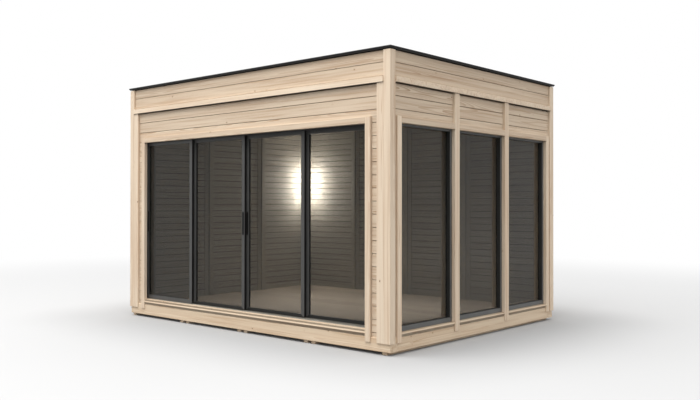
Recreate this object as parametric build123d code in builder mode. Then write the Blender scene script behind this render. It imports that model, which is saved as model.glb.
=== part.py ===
"""Garden house of about four by three metres, built from boarded wall panels on a timber base.

Millimetres. X runs along the front, Y from the front to the back, Z up. The origin is the
middle of the footprint at ground level, where the bearers rest. Seen from the front, the
sliding door fills the front wall and three fixed windows fill the right wall.
"""

from build123d import *
import os

# Wall panels: size over their outer faces, height of the eaves over the base beams, thickness
house_length = 4000
house_depth = 3024
eaves_rise = 2600
wall_thickness = 105

# Base and floor
bearer_height = 30
bearer_width = 55
bearer_pair_spacing = 105
bearer_inset_left = 4
bearer_inset_right = 55
base_beam_height = 124
base_beam_width = 120
base_proud = 29
joist_width = 45
joist_count = 6
floor_board_thickness = 28
floor_rise = 6

# Roof and ceiling
ceiling_drop = 291
ceiling_thickness = 22
roof_deck_thickness = 44
roof_deck_rise = 22
roof_edge_height = 30
roof_edge_overhang = 13
roof_edge_ledge = 6
roof_edge_lap = 80

# Boards over the outside of the panels
cover_thickness = 43
cover_width = 80
cover_lap = 46
eased_edge = 3
trim_width = 62
fascia_height = 235
fascia_thickness = 23
fascia_strip_height = 54
fascia_strip_thickness = 55

# Openings: height of their heads over the base beams, and the sills under them
opening_head = 1949
sill_foot = 26
sill_nose = 12
sill_nose_height = 20
sill_bevel = 14
sill_joint = 4
sill_groove = 4
window_sill_height = 46
door_sill_height = 64

# Windows of the right wall
window_trim_inset = 111
mullion_offset = 480
mullion_width = 82
window_side_rail = 30
window_top_rail = 20
window_bottom_rail = 45
window_frame_depth = 54
window_frame_proud = 2
window_glass_thickness = 8
window_glass_recess = 40
window_rebate = 8
glazing_bead = 2

# Sliding door: the wall left at each side of the doorway, then the leaves and their frame
door_side_left = 181
door_side_right = 241
door_trim_inset = 237
leaf_count = 4
leaf_overlap = 11
leaf_head_lap = 7
leaf_thickness = 24
leaf_stile = 46
leaf_glass_thickness = 6
glass_rebate = 8
track_pitch = 32
track_start = 19
door_clearance = 5
door_frame_face = 40
door_frame_depth = 145
door_head_thickness = 33
rib_width = 4
head_rib_height = 16
rail_rib_height = 7
rail_foot_width = 16
rail_foot_height = 1.5
groove_width = 14
groove_depth = 30
roller_radius = 9
roller_width = 8
axle_radius = 2.5
roller_inset = 120
roller_gap = 0.3

# Pulls: slim trays let into the stiles
pull_height = 250
pull_width = 24
pull_depth = 8
pull_proud = 2
pull_wall = 4
pull_floor = 2
pull_middle = 1002

# Posts inside, which cover the joints between the panels: a batten with a board beside it
inner_batten_width = 70
inner_batten_thickness = 32
inner_board_width = 62
inner_board_thickness = 12
inner_post_offset_side = 465
inner_post_offset_back = 925

# Levels over the ground
base_bottom = bearer_height
base_top = base_bottom + base_beam_height
floor_top = base_top + floor_rise
joist_top = floor_top - floor_board_thickness
eaves = base_top + eaves_rise
wall_top = eaves - roof_deck_rise
ceiling = eaves - ceiling_drop
cover_low = base_top - cover_lap
strip_top = eaves - fascia_height
strip_low = strip_top - fascia_strip_height
head_low = base_top + opening_head
trim_top = head_low + trim_width
window_low = base_top + window_sill_height
sill_top = base_top + door_sill_height

# Plan lines: wall faces outside and inside, the base, and the outer face of the cover boards
wall_x = house_length / 2
wall_y = house_depth / 2
base_x = wall_x + base_proud
base_y = wall_y + base_proud
room_x = wall_x - wall_thickness
room_y = wall_y - wall_thickness
post_x = wall_x + cover_thickness
post_y = wall_y + cover_thickness

os.makedirs("parts", exist_ok=True)


def write(piece, name):
    """Label a finished piece and write it under its own name."""
    piece.part.label = name
    export_step(piece.part, f"parts/{name}.step")


def slab(low, high):
    """A board or panel from its lowest to its highest corner, in the part under way."""
    with Locations([low]):
        Box(*[high[i] - low[i] for i in range(3)], align=(Align.MIN, Align.MIN, Align.MIN))


def post(x_low, x_high, y_low, y_high, z_low, z_high):
    """An upright board with eased long edges, in the part under way."""
    with BuildSketch(Plane.XY.offset(z_low)) as section:
        with Locations([((x_low + x_high) / 2, (y_low + y_high) / 2)]):
            Rectangle(x_high - x_low, y_high - y_low)
        chamfer(section.vertices(), eased_edge)
    extrude(section.sketch, amount=z_high - z_low)


def lap_base():
    """Cuts back the foot of the boards under way where they lap over the base."""
    with Locations([(0, 0, base_bottom)]):
        Box(2 * base_x, 2 * base_y, base_beam_height, align=(Align.CENTER, Align.CENTER, Align.MIN),
            mode=Mode.SUBTRACT)


# Bearers: a single one near each end and a pair at each joint between the four floor panels
quarter = house_length / 4
with BuildPart() as floor_bearers:
    with BuildSketch():
        with Locations([(bearer_inset_left - wall_x, 0), (wall_x - bearer_inset_right, 0)]):
            Rectangle(bearer_width, house_depth)
        with GridLocations(quarter, 0, 3, 1), GridLocations(bearer_pair_spacing, 0, 2, 1):
            Rectangle(bearer_width, house_depth)
    extrude(amount=bearer_height)
write(floor_bearers, "floor_bearers")

# Base frame: long beams under the front and back walls, short ones between them
beam_inner_x = base_x - base_beam_width
beam_inner_y = base_y - base_beam_width
with BuildPart() as base_beams_long:
    with BuildSketch(Plane.XY.offset(base_bottom)):
        with GridLocations(0, beam_inner_y + base_y, 1, 2):
            Rectangle(2 * base_x, base_beam_width)
    extrude(amount=base_beam_height)
    chamfer(base_beams_long.edges().filter_by(Axis.X), eased_edge)
write(base_beams_long, "base_beams_front_and_back")

with BuildPart() as base_beams_short:
    with BuildSketch(Plane.XY.offset(base_bottom)):
        with GridLocations(beam_inner_x + base_x, 0, 2, 1):
            Rectangle(base_beam_width, 2 * beam_inner_y)
    extrude(amount=base_beam_height)
    chamfer(base_beams_short.edges().filter_by(Axis.Y), eased_edge)
write(base_beams_short, "base_beams_sides")

with BuildPart() as floor_joists:
    with BuildSketch(Plane.XY.offset(base_bottom)):
        with GridLocations(0, 2 * beam_inner_y / (joist_count + 1), 1, joist_count):
            Rectangle(2 * beam_inner_x, joist_width)
    extrude(amount=joist_top - base_bottom)
write(floor_joists, "floor_joists")

with BuildPart() as floor_deck:
    slab((-room_x, -room_y, joist_top), (room_x, room_y, floor_top))
write(floor_deck, "floor_deck")

# Door places: the leaves share the doorway, each on its own track behind the one before
jamb_left = -wall_x + door_side_left
jamb_right = wall_x - door_side_right
leaves_left = jamb_left + door_frame_face + door_clearance
leaves_right = jamb_right - door_frame_face - door_clearance
leaf_width = (leaves_right - leaves_left + (leaf_count - 1) * leaf_overlap) / leaf_count
leaf_pitch = leaf_width - leaf_overlap
leaf_low = sill_top + rail_foot_height + door_clearance
leaf_high = head_low + leaf_head_lap
leaf_height = leaf_high - leaf_low
door_front = -wall_y
door_back = door_front + door_frame_depth
track_low = leaf_high + door_clearance
track_high = track_low + door_head_thickness


def leaf_middle(n):
    """The middle plane of leaf n, counted from 0 at the left."""
    return door_front + track_start + n * track_pitch + leaf_thickness / 2


# Front wall: a narrow panel at each side of the doorway and one over it
with BuildPart() as front_wall_left:
    slab((-wall_x, -wall_y, base_top), (jamb_left, -room_y, wall_top))
write(front_wall_left, "front_wall_left")

with BuildPart() as front_wall_right:
    slab((jamb_right, -wall_y, base_top), (wall_x, -room_y, wall_top))
write(front_wall_right, "front_wall_right")

with BuildPart() as front_wall_header:
    slab((jamb_left, -wall_y, track_high), (jamb_right, -room_y, wall_top))
write(front_wall_header, "front_wall_header")

# Left and back walls are closed
with BuildPart() as left_wall:
    slab((-wall_x, -room_y, base_top), (-room_x, room_y, wall_top))
write(left_wall, "left_wall")

with BuildPart() as back_wall:
    slab((-wall_x, room_y, base_top), (wall_x, wall_y, wall_top))
write(back_wall, "back_wall")

# Right wall: a panel at each end, a post between windows, a low rail and a header
window_edge = post_y - window_trim_inset - trim_width
mullion_inner = mullion_offset - mullion_width / 2
mullion_outer = mullion_offset + mullion_width / 2
window_spans = [(-window_edge, -mullion_outer), (-mullion_inner, mullion_inner), (mullion_outer, window_edge)]

with BuildPart() as right_wall_posts:
    with BuildSketch(Plane.XY.offset(window_low)):
        with Locations([((wall_x + room_x) / 2, 0)]):
            Rectangle(wall_thickness, 2 * room_y)
            for low, high in window_spans:
                with Locations([(0, (low + high) / 2)]):
                    Rectangle(wall_thickness, high - low, mode=Mode.SUBTRACT)
    extrude(amount=head_low - window_low)
write(right_wall_posts, "right_wall_posts")

with BuildPart() as right_wall_header:
    slab((room_x, -room_y, head_low), (wall_x, room_y, wall_top))
write(right_wall_header, "right_wall_header")

with BuildPart() as right_wall_rail:
    slab((room_x, -room_y, base_top), (wall_x, room_y, window_low))
write(right_wall_rail, "right_wall_rail")

# Corner posts: boards in an angle over each corner, from over the base up to the roof edge
with BuildPart() as corner_posts:
    with BuildSketch(Plane.XY.offset(cover_low)):
        with BuildLine():
            Polyline((post_x, post_y), (post_x - cover_width, post_y), (post_x - cover_width, wall_y),
                     (wall_x, wall_y), (wall_x, post_y - cover_width), (post_x, post_y - cover_width),
                     close=True)
        make_face()
        chamfer(vertices().sort_by(Axis.X)[-2:] + vertices().sort_by(Axis.Y)[-2:-1], eased_edge)
    extrude(amount=eaves - cover_low)
    lap_base()
    mirror(about=Plane.YZ)
    mirror(about=Plane.XZ)
write(corner_posts, "corner_posts")

# Corner boards: flat boards beside the posts on the front and the back, up to the fascia
with BuildPart() as corner_boards:
    post(post_x - 2 * cover_width, post_x - cover_width, wall_y, post_y, cover_low, strip_low)
    lap_base()
    mirror(about=Plane.YZ)
    mirror(about=Plane.XZ)
write(corner_boards, "corner_boards")

# Fascia: boards under the roof edge, and a prouder strip along their foot, between the posts
fascia_x = post_x - cover_width
fascia_y = post_y - cover_width
with BuildPart() as fascia_boards:
    with BuildSketch(Plane.XY.offset(strip_top)):
        with GridLocations(0, house_depth + fascia_thickness, 1, 2):
            Rectangle(2 * fascia_x, fascia_thickness)
        with GridLocations(house_length + fascia_thickness, 0, 2, 1):
            Rectangle(fascia_thickness, 2 * fascia_y)
    extrude(amount=fascia_height)
write(fascia_boards, "fascia_boards")

with BuildPart() as fascia_strips:
    with BuildSketch(Plane.XY.offset(strip_low)):
        with GridLocations(0, house_depth + fascia_strip_thickness, 1, 2):
            Rectangle(2 * fascia_x, fascia_strip_thickness)
        with GridLocations(house_length + fascia_strip_thickness, 0, 2, 1):
            Rectangle(fascia_strip_thickness, 2 * fascia_y)
    extrude(amount=fascia_strip_height)
    chamfer(fascia_strips.faces().filter_by(Axis.X).edges().filter_by(Axis.Y), eased_edge)
write(fascia_strips, "fascia_strips")

# Trim round the doorway
trim_x = post_x - door_trim_inset
trim_inner_x = trim_x - trim_width
with BuildPart() as door_trim_sides:
    post(trim_inner_x, trim_x, -post_y, -wall_y, cover_low, trim_top)
    lap_base()
    mirror(about=Plane.YZ)
write(door_trim_sides, "door_trim_sides")

with BuildPart() as door_trim_head:
    slab((-trim_inner_x, -post_y, head_low), (trim_inner_x, -wall_y, trim_top))
    chamfer(door_trim_head.faces().sort_by(Axis.Y)[0].edges().filter_by(Axis.X), eased_edge)
write(door_trim_head, "door_trim_head")


nose_low = base_top + sill_foot
nose_high = nose_low + sill_nose_height


def sill_outline():
    """A sill's foot and bevelled nose, out of the wall plane and up, in the sketch under way."""
    with BuildLine() as section:
        Polyline((0, base_top + sill_joint), (base_proud, base_top + sill_joint), (base_proud, nose_low),
                 (base_proud + sill_nose, nose_low), (base_proud + sill_nose, nose_high - sill_bevel),
                 (base_proud, nose_high), (0, nose_high), close=True)
    make_face(section.edges())


# Door sill: a beam under the rails, with a stepped nose and a groove over it between the trims
with BuildPart() as door_sill:
    slab((jamb_left, -wall_y, base_top), (jamb_right, -room_y, sill_top))
    slab((jamb_left, -room_y, floor_top), (jamb_right, door_back, sill_top))
    slab((-trim_inner_x, -base_y, nose_high + sill_groove), (trim_inner_x, -wall_y, sill_top))
    with BuildSketch(Plane((trim_inner_x, -wall_y, 0), x_dir=(0, -1, 0), z_dir=(-1, 0, 0))):
        sill_outline()
    extrude(amount=2 * trim_inner_x)
write(door_sill, "door_sill")

# Trim over the right wall: side boards, boards over the posts between windows, heads, sills
window_trim_y = post_y - window_trim_inset
with BuildPart() as window_trim_sides:
    post(wall_x, post_x, window_edge, window_trim_y, cover_low, trim_top)
    lap_base()
    mirror(about=Plane.XZ)
write(window_trim_sides, "window_trim_sides")

with BuildPart() as mullion_boards:
    post(wall_x, post_x, mullion_inner, mullion_outer, cover_low, strip_low)
    lap_base()
    mirror(about=Plane.XZ)
write(mullion_boards, "mullion_boards")

with BuildPart() as window_trim_heads:
    for low, high in window_spans:
        slab((wall_x, low, head_low), (post_x, high, trim_top))
    chamfer(window_trim_heads.faces().filter_by(Axis.X).sort_by(Axis.X)[-3:].edges().filter_by(Axis.Y),
            eased_edge)
write(window_trim_heads, "window_trim_heads")

with BuildPart() as window_sills:
    for low, high in window_spans:
        with BuildSketch(Plane((wall_x, high, 0), x_dir=(1, 0, 0), z_dir=(0, -1, 0))):
            sill_outline()
        extrude(amount=high - low)
write(window_sills, "window_sills")

# Windows: a metal ring outside with a rebate for the glass, and a timber lining behind it
frame_out = wall_x + window_frame_proud
frame_in = frame_out - window_frame_depth
glass_out = frame_out - window_glass_recess
pane_low = window_low + window_bottom_rail
pane_high = head_low - window_top_rail


def pane_outline(low, high, growth, mode=Mode.ADD):
    """The window's daylight between two ends of its opening, grown on every side."""
    with Locations([((low + high) / 2, (pane_low + pane_high) / 2)]):
        Rectangle(high - low - 2 * (window_side_rail - growth), pane_high - pane_low + 2 * growth, mode=mode)


def window_ring(low, high):
    """The whole opening of a window less its daylight."""
    with Locations([((low + high) / 2, (window_low + head_low) / 2)]):
        Rectangle(high - low, head_low - window_low)
    pane_outline(low, high, 0, Mode.SUBTRACT)


with BuildPart() as window_linings:
    with BuildSketch(Plane.YZ.offset(room_x)):
        for low, high in window_spans:
            window_ring(low, high)
    extrude(amount=frame_in - room_x)
write(window_linings, "window_linings")

with BuildPart() as window_frames:
    with BuildSketch(Plane.YZ.offset(frame_in)):
        for low, high in window_spans:
            window_ring(low, high)
    extrude(amount=window_frame_depth)
    with BuildSketch(Plane.YZ.offset(glass_out - window_glass_thickness)):
        for low, high in window_spans:
            pane_outline(low, high, window_rebate)
    extrude(amount=window_glass_thickness, mode=Mode.SUBTRACT)
    outer_faces = window_frames.faces().sort_by(Axis.X)[-len(window_spans):]
    chamfer([face.inner_wires()[0].edges() for face in outer_faces], glazing_bead)
write(window_frames, "window_frames")

with BuildPart() as window_glass:
    with BuildSketch(Plane.YZ.offset(glass_out - window_glass_thickness)):
        for low, high in window_spans:
            pane_outline(low, high, window_rebate)
    extrude(amount=window_glass_thickness)
write(window_glass, "window_glass")

# Door rails: one flat-footed rail on the sill for each leaf
with BuildPart() as door_rails:
    for n in range(leaf_count):
        with BuildSketch(Plane.XY.offset(sill_top)):
            with Locations([((leaves_left + leaves_right) / 2, leaf_middle(n))]):
                Rectangle(leaves_right - leaves_left, rail_foot_width)
        extrude(amount=rail_foot_height)
        with BuildSketch(Plane.XY.offset(sill_top)):
            with Locations([((leaves_left + leaves_right) / 2, leaf_middle(n))]):
                Rectangle(leaves_right - leaves_left, rib_width)
        extrude(amount=rail_rib_height)
write(door_rails, "door_rails")

# Door frame: a head with a rib for each leaf, and two jambs
with BuildPart() as door_head_track:
    slab((jamb_left, door_front, track_low), (jamb_right, door_back, track_high))
    with BuildSketch(Plane.XY.offset(track_low)):
        for n in range(leaf_count):
            with Locations([((leaves_left + leaves_right) / 2, leaf_middle(n))]):
                Rectangle(leaves_right - leaves_left, rib_width)
    extrude(amount=-head_rib_height)
write(door_head_track, "door_head_track")

with BuildPart() as door_jambs:
    slab((jamb_left, door_front, sill_top), (jamb_left + door_frame_face, door_back, track_low))
    slab((jamb_right - door_frame_face, door_front, sill_top), (jamb_right, door_back, track_low))
write(door_jambs, "door_jambs")

# Door leaves: stiles and rails grooved over the rails and ribs, with two rollers in the foot
daylight_width = leaf_width - 2 * leaf_stile
daylight_height = leaf_height - 2 * leaf_stile
roller_middle = sill_top + rail_rib_height + roller_gap + roller_radius
stile_middle = leaf_stile / 2
pulls = {0: (stile_middle,), 1: (leaf_width - stile_middle,), 2: (stile_middle,)}
pull_level = base_top + pull_middle


def leaf_rectangle(n, width, height):
    """A rectangle about the middle of leaf n."""
    with Locations([(leaves_left + n * leaf_pitch + leaf_width / 2, (leaf_low + leaf_high) / 2)]):
        Rectangle(width, height)


def pull_slot(n, inset):
    """The outline of a pull, upright on a stile of leaf n, less a wall all round."""
    for across in pulls[n]:
        with Locations([(leaves_left + n * leaf_pitch + across, pull_level)]):
            SlotOverall(pull_height - 2 * inset, pull_width - 2 * inset, rotation=90)


for n in range(leaf_count):
    middle = leaf_middle(n)
    back = middle + leaf_thickness / 2
    front = middle - leaf_thickness / 2
    left = leaves_left + n * leaf_pitch
    with BuildPart() as leaf_frame:
        with BuildSketch(Plane.XZ.offset(-back)):
            leaf_rectangle(n, leaf_width, leaf_height)
        extrude(amount=leaf_thickness)
        with BuildSketch(Plane.XZ.offset(-back)):
            leaf_rectangle(n, daylight_width, daylight_height)
        extrude(amount=leaf_thickness, mode=Mode.SUBTRACT)
        with BuildSketch(Plane.XZ.offset(-middle)):
            leaf_rectangle(n, daylight_width + 2 * glass_rebate, daylight_height + 2 * glass_rebate)
        extrude(amount=leaf_glass_thickness / 2, both=True, mode=Mode.SUBTRACT)
        with BuildSketch(Plane.YZ.offset(left)):
            with Locations([(middle, leaf_low)]):
                Rectangle(groove_width, groove_depth, align=(Align.CENTER, Align.MIN))
            with Locations([(middle, leaf_high)]):
                Rectangle(groove_width, groove_depth, align=(Align.CENTER, Align.MAX))
        extrude(amount=leaf_width, mode=Mode.SUBTRACT)
        if n in pulls:
            with BuildSketch(Plane.XZ.offset(-front)):
                pull_slot(n, 0)
            extrude(amount=pull_proud - pull_depth, mode=Mode.SUBTRACT)
        with Locations([(left + roller_inset, middle, roller_middle),
                        (left + leaf_width - roller_inset, middle, roller_middle)]):
            Cylinder(roller_radius, roller_width, rotation=(90, 0, 0))
            Cylinder(axle_radius, groove_width, rotation=(90, 0, 0))
    write(leaf_frame, f"door_leaf_{n + 1}_frame")
    with BuildPart() as leaf_glass:
        with BuildSketch(Plane.XZ.offset(-middle)):
            leaf_rectangle(n, daylight_width + 2 * glass_rebate, daylight_height + 2 * glass_rebate)
        extrude(amount=leaf_glass_thickness / 2, both=True)
    write(leaf_glass, f"door_leaf_{n + 1}_glass")
    if n in pulls:
        with BuildPart() as door_pull:
            with BuildSketch(Plane.XZ.offset(pull_proud - front)):
                pull_slot(n, 0)
            extrude(amount=-pull_depth)
            with BuildSketch(Plane.XZ.offset(pull_proud - front)):
                pull_slot(n, pull_wall)
            extrude(amount=pull_floor - pull_depth, mode=Mode.SUBTRACT)
        write(door_pull, f"door_pull_{n + 1}")

# Inner posts: upright battens on the left and back walls, each with a flat board beside it
with BuildPart() as inner_posts:
    for joint in (-inner_post_offset_side, inner_post_offset_side):
        post(-room_x, -room_x + inner_board_thickness, joint - inner_board_width, joint, floor_top, ceiling)
        post(-room_x, -room_x + inner_batten_thickness, joint, joint + inner_batten_width, floor_top, ceiling)
    for joint in (-inner_post_offset_back, 0, inner_post_offset_back):
        post(joint - inner_batten_width, joint, room_y - inner_batten_thickness, room_y, floor_top, ceiling)
        post(joint, joint + inner_board_width, room_y - inner_board_thickness, room_y, floor_top, ceiling)
write(inner_posts, "inner_posts")

# Ceiling and roof deck
with BuildPart() as ceiling_panel:
    slab((-room_x, -room_y, ceiling), (room_x, room_y, ceiling + ceiling_thickness))
write(ceiling_panel, "ceiling_panel")

deck_top = wall_top + roof_deck_thickness
with BuildPart() as roof_deck:
    slab((-wall_x, -wall_y, wall_top), (wall_x, wall_y, deck_top))
write(roof_deck, "roof_deck")

# Roof edge: folded metal with a drip ledge outside, which laps over the deck
edge_x = post_x + roof_edge_overhang
edge_y = post_y + roof_edge_overhang
with BuildPart() as roof_edge:
    with BuildSketch(Plane.XY.offset(eaves)):
        Rectangle(2 * (edge_x - roof_edge_ledge), 2 * (edge_y - roof_edge_ledge))
        Rectangle(house_length, house_depth, mode=Mode.SUBTRACT)
    extrude(amount=roof_edge_height)
    with BuildSketch(Plane.XY.offset(eaves + roof_edge_height / 2)):
        Rectangle(2 * edge_x, 2 * edge_y)
        Rectangle(house_length, house_depth, mode=Mode.SUBTRACT)
    extrude(amount=roof_edge_height / 2)
    with BuildSketch(Plane.XY.offset(deck_top)):
        Rectangle(house_length, house_depth)
        Rectangle(house_length - 2 * roof_edge_lap, house_depth - 2 * roof_edge_lap, mode=Mode.SUBTRACT)
    extrude(amount=eaves + roof_edge_height - deck_top)
write(roof_edge, "roof_edge")
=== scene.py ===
"""Looks of the garden house, piece by piece in the order in which it is put together. Metres."""

import math
import random

import bmesh
import bpy
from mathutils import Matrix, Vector


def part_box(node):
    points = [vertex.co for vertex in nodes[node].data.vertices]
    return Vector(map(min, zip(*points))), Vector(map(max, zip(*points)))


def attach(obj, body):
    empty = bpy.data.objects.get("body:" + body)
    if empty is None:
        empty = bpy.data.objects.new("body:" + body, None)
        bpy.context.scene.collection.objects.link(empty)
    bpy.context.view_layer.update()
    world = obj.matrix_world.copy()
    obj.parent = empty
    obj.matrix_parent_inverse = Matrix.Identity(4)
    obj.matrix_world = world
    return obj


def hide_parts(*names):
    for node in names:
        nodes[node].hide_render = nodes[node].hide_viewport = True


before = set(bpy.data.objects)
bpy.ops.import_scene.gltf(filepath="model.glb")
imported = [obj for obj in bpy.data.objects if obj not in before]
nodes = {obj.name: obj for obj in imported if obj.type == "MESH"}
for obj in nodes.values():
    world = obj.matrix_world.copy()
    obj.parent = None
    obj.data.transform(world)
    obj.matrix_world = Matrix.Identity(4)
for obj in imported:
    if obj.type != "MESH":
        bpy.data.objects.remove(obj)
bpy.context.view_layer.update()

# Base: bearers that lie flat on the ground, and a frame of planed beams with joists in it.
# All the timber is unpainted spruce: pale, with soft tan growth rings that run in long arcs
# where the saw cut them flat, and a small knot here and there.


class Term:
    """A value in a material. Sums on terms add the nodes that work them out."""

    def __init__(self, tree, socket=None):
        self.tree = tree
        self.socket = socket

    def node(self, kind, settings=None, values=None, output=0):
        """A node of any type: its settings come first, then the values or links of its sockets."""
        made = self.tree.nodes.new("ShaderNode" + kind)
        for key, setting in (settings or {}).items():
            setattr(made, key, setting)
        for key, value in (values or {}).items():
            if isinstance(value, Term):
                self.tree.links.new(value.socket, made.inputs[key])
            else:
                made.inputs[key].default_value = value
        return Term(self.tree, made.outputs[output])

    def maths(self, operation, *others):
        return self.node("Math", {"operation": operation}, dict(enumerate((self,) + others)))

    def __add__(self, other):
        return self.maths("ADD", other)

    def __sub__(self, other):
        return self.maths("SUBTRACT", other)

    def __rsub__(self, other):
        return self.node("Math", {"operation": "SUBTRACT"}, {0: other, 1: self})

    def __mul__(self, other):
        return self.maths("MULTIPLY", other)

    def __truediv__(self, other):
        return self.maths("DIVIDE", other)

    __radd__ = __add__
    __rmul__ = __mul__

    def part(self, axis):
        """One part of this vector."""
        return self.node("SeparateXYZ", {}, {0: self}, axis)

    def scaled(self, *factors):
        """This vector with each of its parts multiplied."""
        return self.node("VectorMath", {"operation": "MULTIPLY"}, {0: self, 1: factors})

    def noise(self, detail=2.0, roughness=0.5):
        """Smooth noise at this vector, from 0 to 1 about a mean of a half."""
        return self.node("TexNoise", {}, {"Vector": self, "Scale": 1.0, "Detail": detail,
                                          "Roughness": roughness})

    def fade(self, low, high):
        """From 0 at low to 1 at high, smooth between."""
        return self.node("MapRange", {"interpolation_type": "SMOOTHSTEP"},
                         {"Value": self, "From Min": low, "From Max": high})

    def mix(self, first, second):
        """The first colour where this term is 0, and the second where it is 1."""
        return self.node("Mix", {"data_type": "RGBA"}, {0: self, 6: first, 7: second}, output=2)


def colour(red, green, blue):
    """A colour as a painter's chart gives it, from 0 to 255, in the shader's own numbers."""
    parts = (red / 255, green / 255, blue / 255)
    return tuple(part / 12.92 if part <= 0.04045 else ((part + 0.055) / 1.055) ** 2.4
                 for part in parts) + (1.0,)


def surface(name, fixed, linked):
    """A material: numbers that are the same all over, then a function that gives the terms."""
    material = bpy.data.materials.new(name)
    material.use_nodes = True
    tree = material.node_tree
    shader = tree.nodes["Principled BSDF"]
    for key, value in fixed.items():
        shader.inputs[key].default_value = value
    for key, term in linked(Term(tree)).items():
        tree.links.new(term.socket, shader.inputs[key])
    return material


def spruce(name, early, late, contrast=1.0):
    """Planed spruce, cut from a log whose pith is the axis of each board's grain frame."""
    ring_width = 0.0042
    knots_in_a_metre = 4.6
    knot_brown = colour(120, 84, 58)

    def terms(start):
        grain = start.node("Attribute", {"attribute_name": "grain"}, output=1)
        tone = start.node("Attribute", {"attribute_name": "tone"}, output=2)
        sway = grain.scaled(0.9, 3.0, 3.0).noise(2.0) - 0.5
        lean = grain.scaled(0.6, 2.0, 2.0).noise(1.0) - 0.5
        from_knot = grain.node("TexVoronoi", {}, {"Vector": grain.scaled(1.0, 1.6, 1.6),
                                                  "Scale": knots_in_a_metre})
        knot = from_knot.fade(0.045, 0.028)
        halo = from_knot.fade(0.13, 0.02)
        side = grain.part(1) + sway * 0.05
        depth = grain.part(2) + lean * 0.05
        radius = (side * side + depth * depth).maths("SQRT")
        year = ((radius + halo * 0.008 + sway * 0.004) / ring_width).maths("FRACT")
        latewood = year.fade(0.35, 0.95) * year.fade(1.0, 0.96)
        strength = grain.scaled(0.7, 9.0, 9.0).noise(2.0).fade(0.25, 0.75) * contrast
        fibre = grain.scaled(3.0, 420.0, 420.0).noise(3.0, 0.6)
        streak = grain.scaled(0.8, 38.0, 38.0).noise(3.0, 0.6)
        bloom = grain.scaled(0.5, 5.0, 5.0).noise(2.0)
        wood = (latewood * strength).mix(early, late)
        wood = (streak.fade(0.42, 0.78) * 0.75).mix(wood, late)
        wood = (halo * 0.35).mix(wood, late)
        wood = knot.mix(wood, knot_brown)
        light = tone + (fibre - 0.5) * 0.2 + (bloom - 0.5) * 0.16 + 1.0
        shade = light.node("CombineXYZ", {}, {0: light, 1: light, 2: light})
        wood = wood.node("Mix", {"data_type": "RGBA", "blend_type": "MULTIPLY"},
                         {0: 1.0, 6: wood, 7: shade}, output=2)
        height = latewood * 0.4 + fibre * 0.6 - knot * 0.5
        bump = height.node("Bump", {}, {"Height": height, "Strength": 0.35, "Distance": 0.0006})
        return {"Base Color": wood, "Roughness": 0.72 - latewood * 0.12 + (fibre - 0.5) * 0.15,
                "Normal": bump}

    return surface(name, {"Specular IOR Level": 0.35}, terms)


lot = random.Random(4)


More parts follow.
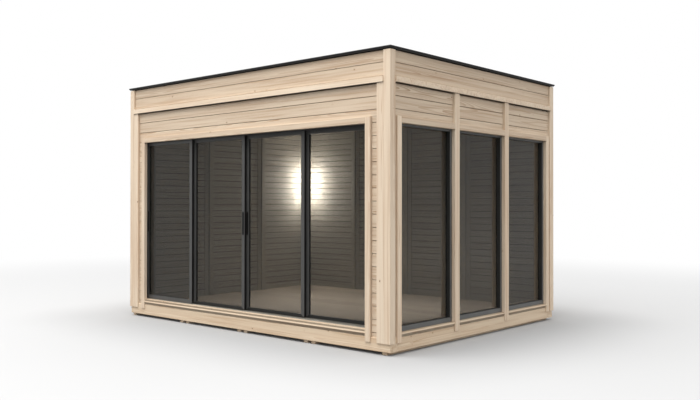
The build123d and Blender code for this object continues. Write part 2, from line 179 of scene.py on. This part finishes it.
class Boards:
    """A piece made of boards, each with its own stretch of a log's grain and its own tone,
    which also carries painted shade.
    """

    def __init__(self):
        self.mesh = bmesh.new()
        self.grain = self.mesh.verts.layers.float_vector.new("grain")
        self.tone = self.mesh.verts.layers.float.new("tone")

    def mark(self, corners, run, spread=0.02):
        """Gives the corners of one board, which runs along an axis, their place in a log."""
        low = [min(corner.co[i] for corner in corners) for i in range(3)]
        high = [max(corner.co[i] for corner in corners) for i in range(3)]
        thin, wide = sorted((i for i in range(3) if i != run), key=lambda i: high[i] - low[i])
        pith = Vector((low[0] + high[0], low[1] + high[1], low[2] + high[2])) / 2
        pith[run] = low[run] - lot.uniform(3, 40)
        pith[thin] += lot.choice((-1, 1)) * lot.uniform(0.015, 0.075)
        pith[wide] += lot.uniform(-0.4, 0.4) * (high[wide] - low[wide])
        tone = lot.gauss(0, spread)
        for corner in corners:
            place = corner.co - pith
            corner[self.grain] = (place[run], place[wide], place[thin])
            corner[self.tone] = tone

    def take(self, node, run, edge=0.0012, shade=None):
        """The boards of a node of the model as they are, with their sharp edges rubbed down. The
        painted shade of a corner, worked out from its place, darkens the wood there."""
        own = bmesh.new()
        own.from_mesh(nodes[node].data)
        bmesh.ops.remove_doubles(own, verts=own.verts, dist=1e-5)
        bmesh.ops.dissolve_limit(own, angle_limit=math.radians(1), verts=own.verts,
                                 edges=own.edges)
        sharp = [line for line in own.edges
                 if len(line.link_faces) == 2 and line.calc_face_angle() > math.radians(25)]
        bmesh.ops.bevel(own, geom=sharp, offset=edge, segments=2, profile=0.5, affect="EDGES",
                        clamp_overlap=True)
        seen = set()
        for start in own.verts:
            if start in seen:
                continue
            board, front = [], [start]
            seen.add(start)
            while front:
                corner = front.pop()
                board.append(corner)
                for line in corner.link_edges:
                    other = line.other_vert(corner)
                    if other not in seen:
                        seen.add(other)
                        front.append(other)
            copies = {corner: self.mesh.verts.new(corner.co) for corner in board}
            for face in own.faces:
                if face.verts[0] in copies:
                    self.mesh.faces.new([copies[corner] for corner in face.verts])
            self.mark(list(copies.values()), run)
            if shade:
                for corner in copies.values():
                    corner[self.tone] -= shade(corner.co)
        own.free()
        return self

    def add(self, outline, axes, start, end, spread=0.02):
        """One board: an outline on two axes, drawn out along the third. A third number at a
        point of the outline darkens the wood there, as painted shade."""
        run = 3 - sum(axes)
        ends, shades = [], {}
        for level in (start, end):
            corners = []
            for point in outline:
                place = [level] * 3
                place[axes[0]], place[axes[1]] = point[:2]
                corners.append(self.mesh.verts.new(place))
                shades[corners[-1]] = sum(point[2:])
            ends.append(corners)
        count = len(outline)
        self.mesh.faces.new(ends[0])
        self.mesh.faces.new(ends[1][::-1])
        for i in range(count):
            j = (i + 1) % count
            self.mesh.faces.new((ends[0][i], ends[1][i], ends[1][j], ends[0][j]))
        self.mark(ends[0] + ends[1], run, spread)
        for corner, shade in shades.items():
            corner[self.tone] -= shade

    def block(self, low, high, run):
        """One square board from its lowest to its highest corner."""
        first, second = (i for i in range(3) if i != run)
        self.add([(low[first], low[second]), (high[first], low[second]),
                  (high[first], high[second]), (low[first], high[second])],
                 (first, second), low[run], high[run])

    def place(self, name, material, slot, *replaced):
        """Makes the piece, which stands for the nodes that it replaces."""
        bmesh.ops.recalc_face_normals(self.mesh, faces=self.mesh.faces)
        data = bpy.data.meshes.new(name)
        self.mesh.to_mesh(data)
        self.mesh.free()
        data.materials.append(material)
        piece = bpy.data.objects.new(name, data)
        bpy.context.scene.collection.objects.link(piece)
        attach(piece, "house")
        if replaced:
            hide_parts(*replaced)


X, Y, Z = 0, 1, 2
base_wood = spruce("base_spruce", colour(220, 200, 174), colour(188, 155, 121))
for node, run, name in (("floor_bearers", Y, "bearers"),
                        ("base_beams_front_and_back", X, "long_beams"),
                        ("base_beams_sides", Y, "short_beams"),
                        ("floor_joists", X, "joists")):
    Boards().take(node, run).place(name, base_wood, "base_timber", node)

# Floor: planed spruce boards that run along the house, over the joists. Each has its own tone,
# and a narrow joint with eased edges, whose bottom is painted dark as shade, parts it from the
# next.


def clad(boards, low, high, facing, run, joints, gap, depth, spread=0.02, shade=0.6):
    """A skin of boards in a box, facing along an axis, with a groove at each joint whose inside
    is painted dark as shade.
    """
    ease = 0.0015
    out, sign = facing
    rows = 3 - out - run
    face, back = (high[out], low[out]) if sign > 0 else (low[out], high[out])
    eased, groove = face - sign * ease, face - sign * depth
    inner = [joint for joint in joints if low[rows] + gap < joint < high[rows] - gap]
    levels = [low[rows]] + inner + [high[rows]]
    for n in range(len(levels) - 1):
        foot, top = levels[n], levels[n + 1]
        if n:
            outline = [(back, foot, shade), (groove, foot, shade), (groove, foot + gap, shade),
                       (eased, foot + gap), (face, foot + gap + ease)]
        else:
            outline = [(back, foot), (face, foot)]
        if n < len(inner):
            outline += [(face, top - ease), (eased, top), (groove, top, shade),
                        (back, top, shade)]
        else:
            outline += [(face, top), (back, top)]
        boards.add(outline, (out, rows), low[run], high[run], spread)


floor_low, floor_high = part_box("floor_deck")
floor_cover = 0.1172
floor_joints = [floor_low.y + floor_cover * n for n in range(1, 24)]
floor_wood = spruce("floor_spruce", colour(208, 194, 174), colour(172, 150, 126))
floor = Boards()
clad(floor, floor_low, floor_high, (Z, 1), X, floor_joints, gap=0.004, depth=0.006, spread=0.05,
     shade=0.8)
floor.place("floor_boards", floor_wood, "floor_boards", "floor_deck")

# Walls: panels with a core of timber and insulation, horizontal boards outside and narrower
# ones inside, with a thin shadow gap at each joint, painted dark inside as shade. The outer
# boards stand out from the core and stop just short of the posts and trims beside them.
outer_skin, inner_skin = 0.027, 0.020
for node, run, outside, inside in (
        ("front_wall_left", Z, ((X, -1), (Y, -1)), ((Y, 1),)),
        ("front_wall_right", Z, ((X, 1), (Y, -1)), ((Y, 1),)),
        ("front_wall_header", X, ((Y, -1),), ((Y, 1),)),
        ("left_wall", Y, ((X, -1),), ((X, 1),)),
        ("back_wall", X, ((X, -1), (X, 1), (Y, 1)), ((Y, -1),)),
        ("right_wall_header", Y, ((X, 1),), ((X, -1),)),
        ("right_wall_rail", Y, ((X, 1),), ((X, -1),))):
    low, high = (Vector(corner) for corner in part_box(node))
    for sides, thickness in ((outside, outer_skin), (inside, inner_skin)):
        for axis, sign in sides:
            if sign > 0:
                high[axis] -= thickness
            else:
                low[axis] += thickness
    core = Boards()
    core.block(low, high, run)
    core.place(node + "_core", base_wood, "wall_boards", node)
Boards().take("right_wall_posts", Z).place(
    "right_wall_post_timber", base_wood, "wall_boards", "right_wall_posts")


def side_of_boards(name, wood, facing, face, thickness, end_gap, zones, joints, **grooves):
    """All the boards of one side. Each zone is its two ends, its foot and its top."""
    boards = Boards()
    out, sign = facing
    for start, end, foot, top in zones:
        low, high = [0, 0, foot], [0, 0, top]
        low[out], high[out] = sorted((face, face - sign * thickness))
        low[1 - out], high[1 - out] = start + end_gap, end - end_gap
        clad(boards, low, high, facing, 1 - out, joints, **grooves)
    boards.place(name, wood, "wall_boards")


wall_wood = spruce("wall_spruce", colour(213, 195, 172), colour(176, 145, 116))
first_outer_joint, outer_cover = 0.192, 0.1196
outer_joints = [first_outer_joint + outer_cover * n for n in range(23)]
# shade: how much darker the inside of each groove is painted, as shade.
outer_grooves = {"gap": 0.005, "depth": 0.018, "shade": 0.8}
skin_proud = 0.017
board_gap = 0.004
panel_low, panel_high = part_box("back_wall")
wall_x, wall_y, base_top = panel_high.x, panel_high.y, panel_low.z
corner_x, corner_y = 1.883, 1.475
door_trim_x, window_trim_y = 1.806, 1.444
mullion_near_y, mullion_far_y = 0.439, 0.521
strip_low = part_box("fascia_strips")[0].z
trim_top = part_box("door_trim_head")[1].z
foot, head = trim_top + 0.003, strip_low - 0.009
for name, facing, zones in (
        ("front_boards", (Y, -1), ((-corner_x, -door_trim_x, base_top, trim_top),
                                   (door_trim_x, corner_x, base_top, trim_top),
                                   (-corner_x, corner_x, foot, head))),
        ("right_boards", (X, 1), ((-corner_y, -window_trim_y, base_top, trim_top),
                                  (window_trim_y, corner_y, base_top, trim_top),
                                  (-corner_y, -mullion_far_y, foot, head),
                                  (-mullion_near_y, mullion_near_y, foot, head),
                                  (mullion_far_y, corner_y, foot, head))),
        ("left_boards", (X, -1), ((-corner_y, corner_y, base_top, head),)),
        ("back_boards", (Y, 1), ((-corner_x, corner_x, base_top, head),))):
    out, sign = facing
    face = sign * ((wall_x if out == X else wall_y) + skin_proud)
    side_of_boards(name, wall_wood, facing, face, outer_skin + skin_proud, board_gap, zones,
                   outer_joints, **outer_grooves)

room_wood = spruce("room_spruce", colour(191, 187, 176), colour(166, 156, 140))
first_inner_joint, inner_cover = 0.160, 0.0795
inner_joints = [first_inner_joint + inner_cover * n for n in range(30)]
# shade: how much darker the inside of each groove is painted, as shade.
inner_grooves = {"gap": 0.007, "depth": 0.015, "shade": 0.85}
room_x, room_y = 1.895, 1.407
floor_top, room_top = floor_high.z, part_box("ceiling_panel")[0].z
doorway_low, doorway_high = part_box("front_wall_header")
door_left, door_right, door_top = doorway_low.x, doorway_high.x, doorway_low.z
window_foot, window_top = (corner.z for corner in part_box("window_frames"))
for name, facing, zones in (
        ("front_inner_boards", (Y, 1), ((-room_x, door_left, floor_top, room_top),
                                        (door_right, room_x, floor_top, room_top),
                                        (door_left, door_right, door_top, room_top))),
        ("right_inner_boards", (X, -1), ((-room_y, room_y, floor_top, window_foot),
                                         (-room_y, room_y, window_top, room_top))),
        ("left_inner_boards", (X, 1), ((-room_y, room_y, floor_top, room_top),)),
        ("back_inner_boards", (Y, -1), ((-room_x, room_x, floor_top, room_top),))):
    out, sign = facing
    side_of_boards(name, room_wood, facing, -sign * (room_x if out == X else room_y),
                   inner_skin, 0, zones, inner_joints, **inner_grooves)

# Corner posts and the flat boards beside them: planed boards with rounded edges, nailed over
# the corners of the panels and cut back where they lap over the base. Their sides are painted
# darker towards the wall, as shade where a board meets it.
trim_wood = spruce("trim_spruce", colour(224, 206, 183), colour(194, 163, 133), contrast=0.7)


# Painted shade: corners that lie on the wall plane are darkened, so a board's sides darken towards
# the wall.
def painted_shade_at_wall(place):
    on_wall = abs(place.x) < wall_x + 0.001 and abs(place.y) < wall_y + 0.001
    return 1.5 if on_wall else 0.0


for node in ("corner_posts", "corner_boards"):
    Boards().take(node, Z, shade=painted_shade_at_wall).place(node + "_timber", trim_wood,
                                                     "trim_timber", node)

# Fascia: two boards under the roof edge on each side, over a thicker strip whose underside is
# painted dark as shade. The boards stop just short of the posts, and are set back at their foot,
# which leaves a groove over the strip, painted dark inside as shade.
# The fascia's spruce is a little darker than the wall's, as painted shade from the roof edge.
fascia_wood_with_painted_shade = spruce("fascia_spruce_painted_shade", colour(208, 190, 167), colour(170, 138, 109))
fascia_low, fascia_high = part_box("fascia_boards")
fascia_thickness = 0.023
fascia_joint = 2.646
foot_height, foot_recess, foot_painted_shade = 0.010, 0.016, 0.75
fascia_x = 1.963
fascia = Boards()
for out, sign, reach in ((Y, -1, fascia_x), (Y, 1, fascia_x), (X, -1, corner_y), (X, 1, corner_y)):
    face = (fascia_low if sign < 0 else fascia_high)[out]
    back = face - sign * fascia_thickness
    foot_top = fascia_low.z + foot_height
    low, high = [0, 0, foot_top], [0, 0, fascia_high.z]
    low[out], high[out] = sorted((face, back))
    low[1 - out], high[1 - out] = board_gap - reach, reach - board_gap
    clad(fascia, low, high, (out, sign), 1 - out, [fascia_joint], gap=0.0045, depth=0.016)
    # The recess at the foot of the boards is painted dark as shade.
    recess = face - sign * foot_recess
    foot_outline = [(recess, fascia_low.z, foot_painted_shade), (recess, foot_top, foot_painted_shade),
                    (back, foot_top, foot_painted_shade), (back, fascia_low.z, foot_painted_shade)]
    fascia.add(foot_outline, (out, Z), board_gap - reach, reach - board_gap)
fascia.place("fascia_board_pairs", fascia_wood_with_painted_shade, "trim_timber", "fascia_boards")


# Painted shade: the strip's underside is darkened.
def painted_shade_under_strip(place):
    return 0.85 if place.z < strip_low + 0.0004 else 0.0


Boards().take("fascia_strips", X, shade=painted_shade_under_strip).place(
    "fascia_strip_timber", trim_wood, "trim_timber", "fascia_strips")

# Trim of the doorway and windows: boards nailed over the panel edges, with a head board
# between the side boards. At their foot is a sill with a bevelled nose, painted dark as shade
# in the joint under its foot, under the nose and in the groove over it.
for node, run, wood in (("door_trim_sides", Z, trim_wood), ("door_trim_head", X, wall_wood),
                        ("window_trim_sides", Z, trim_wood), ("mullion_boards", Z, trim_wood),
                        ("window_trim_heads", Y, wall_wood)):
    # Their sides are painted darker towards the wall, as shade.
    Boards().take(node, run, shade=painted_shade_at_wall).place(node + "_timber", wood,
                                                       "trim_timber", node)

sill_wood = spruce("sill_spruce", colour(208, 189, 164), colour(176, 145, 115), contrast=0.7)
under_foot, under_nose, over_nose = (0.1535, 0.1595), (0.1785, 0.1815), (0.1985, 0.2055)


# Painted shade in the sill's joints and groove, given by height.
def painted_sill_shade(place):
    for (low, high), shade in ((under_foot, 0.5), (under_nose, 0.4), (over_nose, 0.4)):
        if low < place.z < high:
            return shade
    return 0.0


for node, run in (("door_sill", X), ("window_sills", Y)):
    Boards().take(node, run, edge=0.0006, shade=painted_sill_shade).place(
        node + "_timber", sill_wood, "trim_timber", node)

# Windows: a timber lining inside, and outside it an aluminium frame with a dark, satin powder
# coat, whose surface is very slightly dimpled. The frame's sides, in the recess of the glass,
# are painted nearly black as shade. The glass is a tinted pane with faint smears.
lining_wood = spruce("lining_spruce", colour(238, 224, 204), colour(214, 190, 162))
Boards().take("window_linings", Z).place(
    "window_lining_timber", lining_wood, "trim_timber", "window_linings")


def coated(name, paint, roughness=0.42, gloss=0.4, facing=None, recess=None):
    """A powder coat: one paint, with a fine orange peel and faint dust in its gloss. Where the
    metal faces along one axis, its other sides take the recess colour, which paints the light
    or shade that falls on those sides."""

    def terms(start):
        place = start.node("TexCoord", output=3)
        peel = place.scaled(900.0, 900.0, 900.0).noise(2.0)
        dust = place.scaled(6.0, 6.0, 6.0).noise(4.0, 0.6)
        dusty = tuple(part * 1.2 for part in paint[:3]) + (1.0,)
        paints = dust.fade(0.35, 0.75).mix(paint, dusty)
        if facing is not None:
            normal = start.node("TexCoord", output=1)
            straight = normal.part(facing).maths("ABSOLUTE")
            paints = straight.fade(0.5, 0.8).mix(recess, paints)
        bump = peel.node("Bump", {}, {"Height": peel, "Strength": 0.15, "Distance": 0.0002})
        return {"Base Color": paints, "Roughness": roughness + (dust - 0.5) * 0.18,
                "Normal": bump}

    return surface(name, {"Specular IOR Level": gloss}, terms)


def finish_node(node, material):
    """The node keeps its own shape and gets its real finish."""
    slots = nodes[node].data.materials
    slots.clear()
    slots.append(material)


def smeared(start):
    smear = start.node("TexCoord", output=3).scaled(2.0, 2.0, 2.0).noise(4.0, 0.6)
    return {"Roughness": smear.fade(0.3, 0.8) * 0.03 + 0.01}


# Painted shade for the sides of the window frames.
frame_side_painted_shade = colour(42, 42, 41)
finish_node("window_frames", coated("window_coat", colour(86, 87, 86), facing=X,
                                    recess=frame_side_painted_shade))
pane_glass = surface("pane_glass", {"Base Color": colour(24, 25, 24), "Alpha": 0.55, "IOR": 1.5,
                                    "Specular IOR Level": 0.25}, smeared)
finish_node("window_glass", pane_glass)

# Sliding door: a head and jambs of the same coated metal, bare aluminium rails on the sill,
# and four glazed leaves, each on its own track. Three have a slim pull let into a stile, and
# leaves 2 to 4 have a lower foot rail, nearly black in front. The jambs' sides are painted
# pale as light, and the leaves' sides nearly black as shade.


def anodised(start):
    brushed = start.node("TexCoord", output=3).scaled(4.0, 700.0, 700.0).noise(3.0, 0.6)
    metal = brushed.fade(0.2, 0.8).mix(colour(150, 150, 146), colour(186, 186, 182))
    return {"Base Color": metal, "Roughness": brushed * 0.2 + 0.28}


door_paint = colour(62, 62, 61)
# Painted shade for the sides of the leaves, and painted light for the sides of the jambs.
leaf_side_painted_shade = colour(22, 22, 21)
jamb_side_painted_light = colour(150, 150, 146)
finish_node("door_rails", surface("anodised_metal", {"Metallic": 1.0}, anodised))
finish_node("door_head_track", coated("dark_powder_coat", door_paint))
finish_node("door_jambs", coated("jamb_coat", door_paint, facing=Y, recess=jamb_side_painted_light))
door_coat = coated("door_coat", door_paint, facing=Y, recess=leaf_side_painted_shade)
foot_coat = coated("foot_coat", colour(26, 27, 26), 0.55, 0.25)
pull_coat = coated("pull_coat", colour(16, 16, 16), 0.6, 0.2)
finish_node("door_leaf_1_frame", door_coat)
finish_node("door_leaf_1_glass", pane_glass)
foot_rail_height, foot_rail_drop = 0.046, 0.014
foot_rail_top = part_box("door_leaf_2_frame")[0].z + foot_rail_height
edge_reach = 0.012
for n in range(2, 5):
    for part, material, slot in (("frame", door_coat, "dark_metal"),
                                 ("glass", pane_glass, "clear_glass")):
        node = f"door_leaf_{n}_{part}"
        own = nodes[node].data.copy()
        for corner in own.vertices:
            if foot_rail_top - edge_reach < corner.co.z < foot_rail_top + edge_reach:
                corner.co.z -= foot_rail_drop
        own.materials.clear()
        own.materials.append(material)
        if part == "frame":
            own.materials.append(foot_coat)
            for face in own.polygons:
                if face.center.z < foot_rail_top and face.normal.y < -0.5:
                    face.material_index = 1
        leaf_part = bpy.data.objects.new(f"leaf_{n}_low_{part}", own)
        bpy.context.scene.collection.objects.link(leaf_part)
        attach(leaf_part, f"leaf_{n}")
        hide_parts(node)
for n in range(1, 4):
    finish_node(f"door_pull_{n}", pull_coat)

# Inside: upright battens, each with a flat board beside it, cover the joints of the left and
# back wall panels. The ceiling is of narrow boards that run along the house, with painted
# shade in their joints.
Boards().take("inner_posts", Z).place("inner_post_timber", room_wood, "trim_timber",
                                      "inner_posts")
ceiling_low, ceiling_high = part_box("ceiling_panel")
ceiling_cover = 0.0804
ceiling_joints = [ceiling_low.y + ceiling_cover * n for n in range(1, 35)]
ceiling = Boards()
clad(ceiling, ceiling_low, ceiling_high, (Z, -1), X, ceiling_joints, gap=0.002, depth=0.005)
ceiling.place("ceiling_boards", room_wood, "wall_boards", "ceiling_panel")

# Roof: a deck under one sheet of black rubber membrane, which lies a little slack, and all
# round it an edge of coated sheet metal, folded out over the fascia in two thin steps.


def membrane(start):
    place = start.node("TexCoord", output=3)
    grit = place.scaled(260.0, 260.0, 260.0).noise(3.0, 0.6)
    slack = place.scaled(1.6, 2.4, 1.6).noise(2.0)
    black = slack.fade(0.3, 0.8).mix(colour(38, 38, 39), colour(52, 52, 52))
    height = grit * 0.15 + slack * 4.0
    bump = height.node("Bump", {}, {"Height": height, "Strength": 0.5, "Distance": 0.002})
    return {"Base Color": black, "Roughness": grit * 0.15 + 0.7, "Normal": bump}


finish_node("roof_deck", surface("roof_membrane", {}, membrane))

fold_profile = ((0.085, 2.7758), (0.085, 2.7812), (0.072, 2.7838), (0.0012, 2.7838),
                (0.0, 2.7826), (0.0, 2.7745), (0.0012, 2.7735), (0.0065, 2.7735),
                (0.0065, 2.7640), (0.0090, 2.7630), (0.060, 2.7630), (0.060, 2.7758))
edge_low, edge_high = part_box("roof_edge")
fold = bmesh.new()
rings = [[fold.verts.new((x, y, level)) for x, y in (
    (edge_low.x + inset, edge_low.y + inset), (edge_high.x - inset, edge_low.y + inset),
    (edge_high.x - inset, edge_high.y - inset), (edge_low.x + inset, edge_high.y - inset))]
    for inset, level in fold_profile]
for ring, after in zip(rings, rings[1:] + rings[:1]):
    for i in range(4):
        j = (i + 1) % 4
        fold.faces.new((ring[i], after[i], after[j], ring[j]))
bmesh.ops.recalc_face_normals(fold, faces=fold.faces)
fold_mesh = bpy.data.meshes.new("roof_edge_fold")
fold.to_mesh(fold_mesh)
fold.free()
fold_mesh.materials.append(coated("edge_coat", colour(34, 34, 34), 0.6, 0.25))
edge_piece = bpy.data.objects.new("roof_edge_fold", fold_mesh)
bpy.context.scene.collection.objects.link(edge_piece)
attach(edge_piece, "house")
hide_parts("roof_edge")

# Floor of the studio: smooth, pale and matt. It keeps the house's shadow, and turns white in
# the distance, where it meets the surround. A faint glow, seen only from the camera, fades out
# towards the house, which paints a darker band round its foot as shade.
studio = bmesh.new()
bmesh.ops.create_grid(studio, x_segments=2, y_segments=2, size=60)
studio_mesh = bpy.data.meshes.new("studio_floor")
studio.to_mesh(studio_mesh)
studio.free()
studio_floor = bpy.data.objects.new("studio_floor", studio_mesh)
bpy.context.scene.collection.objects.link(studio_floor)
black, white = (0.0, 0.0, 0.0, 1.0), (1.0, 1.0, 1.0, 1.0)
half_plan = (2.0, 1.5, 0.0)


def seen_at(start):
    """1 where the camera, a mirror or glass looks, and 0 where light is only thrown on."""
    camera_ray, glossy_ray, transmission_ray = (
        start.node("LightPath", output=n) for n in (0, 3, 6))
    return camera_ray.maths("MAXIMUM", glossy_ray.maths("MAXIMUM", transmission_ray))


def studio_paint(start):
    beyond = start.node("TexCoord", output=3)
    for operation, values in (("ABSOLUTE", {}), ("SUBTRACT", {1: half_plan}),
                              ("MAXIMUM", {1: (0.0, 0.0, 0.0)})):
        beyond = beyond.node("VectorMath", {"operation": operation}, {0: beyond, **values})
    distance = beyond.node("VectorMath", {"operation": "LENGTH"}, {0: beyond}, output=1)
    seen = seen_at(start)
    far = distance.fade(3.0, 11.0)
    # Painted shade: the faint glow is none at the house and grows over the first 1.6 m.
    glow_with_painted_shade = distance.fade(-0.2, 1.6) * 0.2
    pale = seen.mix(colour(100, 100, 100), colour(166, 166, 166))
    pale = far.mix(pale, black)
    glow = (seen * (far + glow_with_painted_shade * (1.0 - far))).mix(black, white)
    return {"Base Color": pale, "Emission Color": glow}


studio_mesh.materials.append(surface("studio_floor", {
    "Roughness": 1.0, "Specular IOR Level": 0.0, "Emission Strength": 1.0}, studio_paint))

# Studio light: a large soft lamp high at the front, and an even pale surround that looks white
# straight on and in glass. The room has a lamp under its ceiling, a weak fill at the door and
# at the windows, and three small warm lamps, one over the other, in its back left corner.
dome = 1.32
world = bpy.data.worlds.new("surround")
world.use_nodes = True
bpy.context.scene.world = world
background = world.node_tree.nodes["Background"]
background.inputs["Color"].default_value = white
strength = seen_at(Term(world.node_tree)) * (1.0 - dome) + dome
world.node_tree.links.new(strength.socket, background.inputs["Strength"])


def lamp(name, kind, energy, place, **settings):
    """A lamp that lights the scene and isn't seen itself."""
    light = bpy.data.lights.new(name, kind)
    light.energy = energy
    for key, setting in settings.items():
        setattr(light, key, setting)
    stand = bpy.data.objects.new(name, light)
    stand.location = place
    stand.visible_camera = False
    bpy.context.scene.collection.objects.link(stand)
    return stand


for name, energy, place, aim, width, height, spread in (
        ("top_lamp", 2120, (-1.0, -6.5, 14.0), (-0.2, -1.5, 0), 12.0, 12.0, math.pi),
        ("ceiling_lamp", 22, (0.2, 0, 2.42), (0.2, 0, 0), 3.0, 2.0, 0.9),
        ("door_fill", 1.8, (0.4, -1.3, 0.8), (0.4, 1.4, 0.3), 2.6, 1.0, 2.0),
        ("window_fill", 1.8, (1.8, 0, 0.8), (-1.8, 0, 0.3), 2.4, 1.0, 2.0)):
    panel = lamp(name, "AREA", energy, place, shape="RECTANGLE", size=width, size_y=height,
                 spread=spread)
    panel.rotation_euler = (Vector(aim) - Vector(place)).to_track_quat("-Z", "Y").to_euler()
for level in (1.47, 1.65, 1.83):
    lamp("room_lamp", "POINT", 14, (-1.715, 1.227, level), shadow_soft_size=0.06,
         color=(1.0, 0.96, 0.9))

# Camera: where the reference view stands, 1.36 m over the ground off the front right corner.
camera_data = bpy.data.cameras.new("camera")
camera_data.lens = 40.65
camera_data.sensor_width = 36.0
camera_data.shift_x = -0.5 / 700
camera = bpy.data.objects.new("camera", camera_data)
camera.location = (6.4287, -7.0769, 1.3574)
camera.rotation_euler = (math.radians(90.344), math.radians(-0.0515), math.radians(41.332))
bpy.context.scene.collection.objects.link(camera)
bpy.context.scene.camera = camera

view = bpy.context.scene.view_settings
view.view_transform = "Standard"
